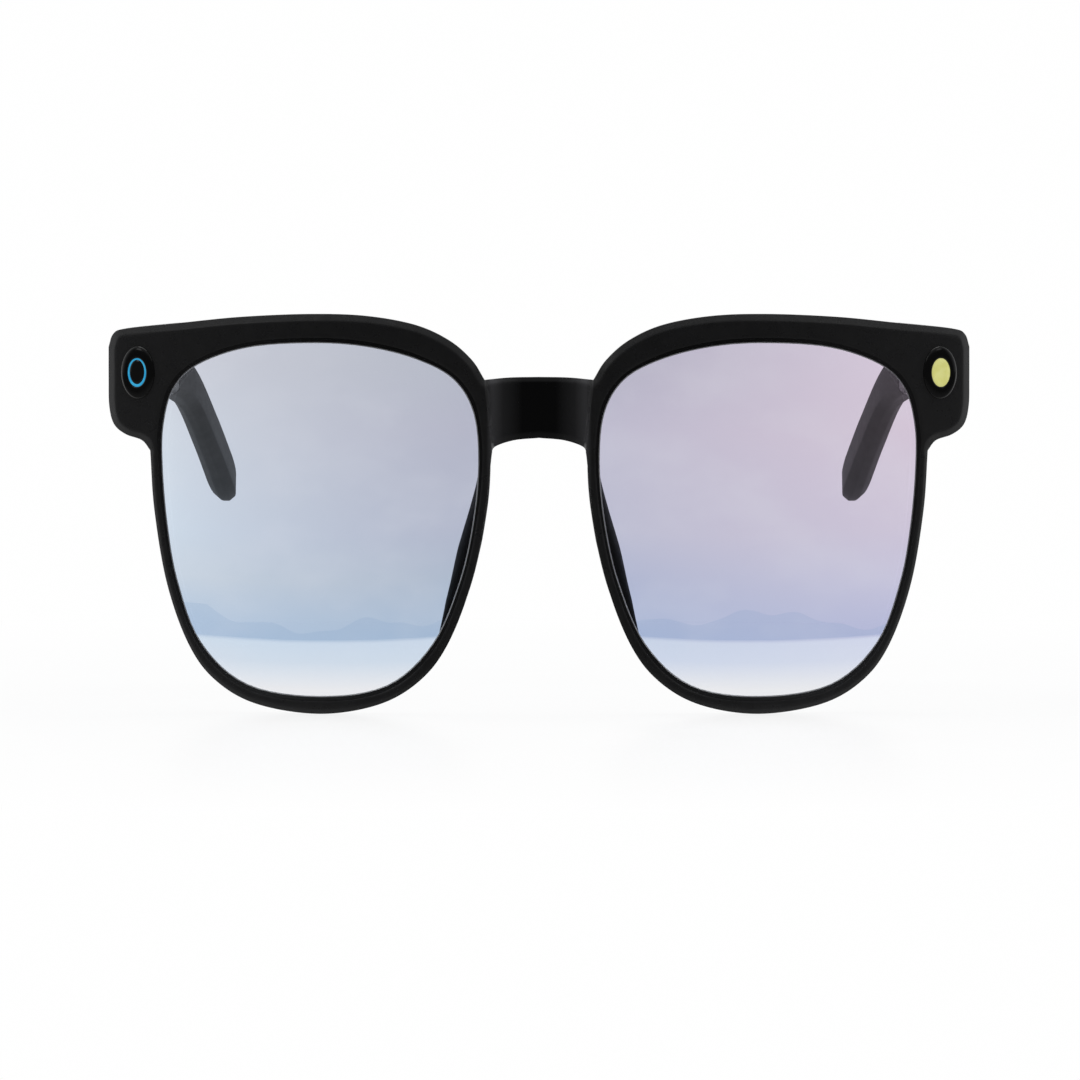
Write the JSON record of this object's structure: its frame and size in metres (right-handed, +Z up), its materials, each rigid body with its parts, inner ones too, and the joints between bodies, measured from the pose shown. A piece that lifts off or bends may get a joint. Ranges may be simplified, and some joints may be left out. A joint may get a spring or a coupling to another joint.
{
  "type": "smart glasses",
  "caption": "Black smart glasses with tinted lenses, a camera and a lamp in the end-pieces, and folding temples that hold boards, batteries and speakers.",
  "frame": {"origin": "middle of the footprint, at the height of the rims' lowest point", "axes": "+Z up, the front faces -Y, +X towards the wearer's left"},
  "size_m": [0.145, 0.1438, 0.067],
  "materials": {
    "front_plastic": "satin black, softly glossy",
    "temple_plastic": "satin black",
    "cover_plastic": "fine matt texture, black",
    "soft_tip": "soft-touch black",
    "nose_pad": "satin black",
    "lens_glass": "pale blue to violet tint",
    "gloss_black": "polished black",
    "camera_glass": "coated black glass",
    "light_ring": "lit blue light guide",
    "lamp_window": "lit pale yellow diffuser",
    "steel": "fine brushed",
    "black_metal": "black coated",
    "wire": "drawn wire",
    "board": "solder mask green",
    "cell": "laminated foil",
    "flex": "polyimide film",
    "gold": "gold plated",
    "magnet": "nickel plated",
    "speaker": "matt black",
    "sensor_glass": "dark infrared window"
  },
  "bodies": {
    "front": {"front_frame": "front_plastic", "lens_right": "lens_glass", "lens_left": "lens_glass", "nose_pad_right": "nose_pad", "nose_pad_left": "nose_pad", "brow_flex_cable": "flex", "brow_channel_cover": "cover_plastic", "bridge_microphone": "steel", "camera_bezel": "gloss_black", "camera_light_ring": "light_ring", "camera_window": "camera_glass", "camera_barrel": "gloss_black", "camera_board": "board", "lamp_bezel": "gloss_black", "lamp_window": "lamp_window", "lamp_board": "board", "endpiece_cover_right": "cover_plastic", "endpiece_cover_left": "cover_plastic", "front_hinge_right": "black_metal", "front_hinge_left": "black_metal", "hinge_rivets_right": "steel", "hinge_rivets_left": "steel", "hinge_screw_right": "steel", "hinge_screw_left": "steel"},
    "temple_right": {"temple_shell_right": "temple_plastic", "temple_cover_right": "cover_plastic", "ear_tip_right": "soft_tip", "core_wire_right": "wire", "temple_hinge_right": "black_metal", "main_board": "board", "battery_right": "cell", "speaker_right": "speaker", "speaker_grille_right": "black_metal", "microphone_right": "steel", "touch_strip": "flex", "wear_sensor": "sensor_glass", "cover_screws_right": "steel", "button_switch": "steel"},
    "temple_left": {"temple_shell_left": "temple_plastic", "temple_cover_left": "cover_plastic", "ear_tip_left": "soft_tip", "core_wire_left": "wire", "temple_hinge_left": "black_metal", "audio_board": "board", "battery_left": "cell", "speaker_left": "speaker", "speaker_grille_left": "black_metal", "microphone_left": "steel", "antenna": "gold", "cover_screws_left": "steel", "charge_contacts": "gold", "dock_magnets": "magnet", "power_switch": "steel"},
    "button": {"capture_button": "gloss_black"},
    "slider": {"power_slider": "gloss_black"}
  },
  "joints": [
    {"name": "fold_right", "type": "hinge", "parent": "front", "child": "temple_right", "pos_m": [-0.0649, -0.0454, 0.0574], "axis": [0, 0, -1], "range_deg": [0, 80]},
    {"name": "fold_left", "type": "hinge", "parent": "front", "child": "temple_left", "pos_m": [0.0649, -0.0454, 0.0574], "axis": [0, 0, 1], "range_deg": [0, 90]},
    {"name": "capture_press", "type": "slide", "parent": "temple_right", "child": "button", "axis": [0, 0, -1], "range_m": [0, 0.0005], "stiffness_N_per_m": 400, "springref_m": -0.001},
    {"name": "power_slide", "type": "slide", "parent": "temple_left", "child": "slider", "axis": [0, 1, 0], "range_m": [0, 0.002]}
  ]
}
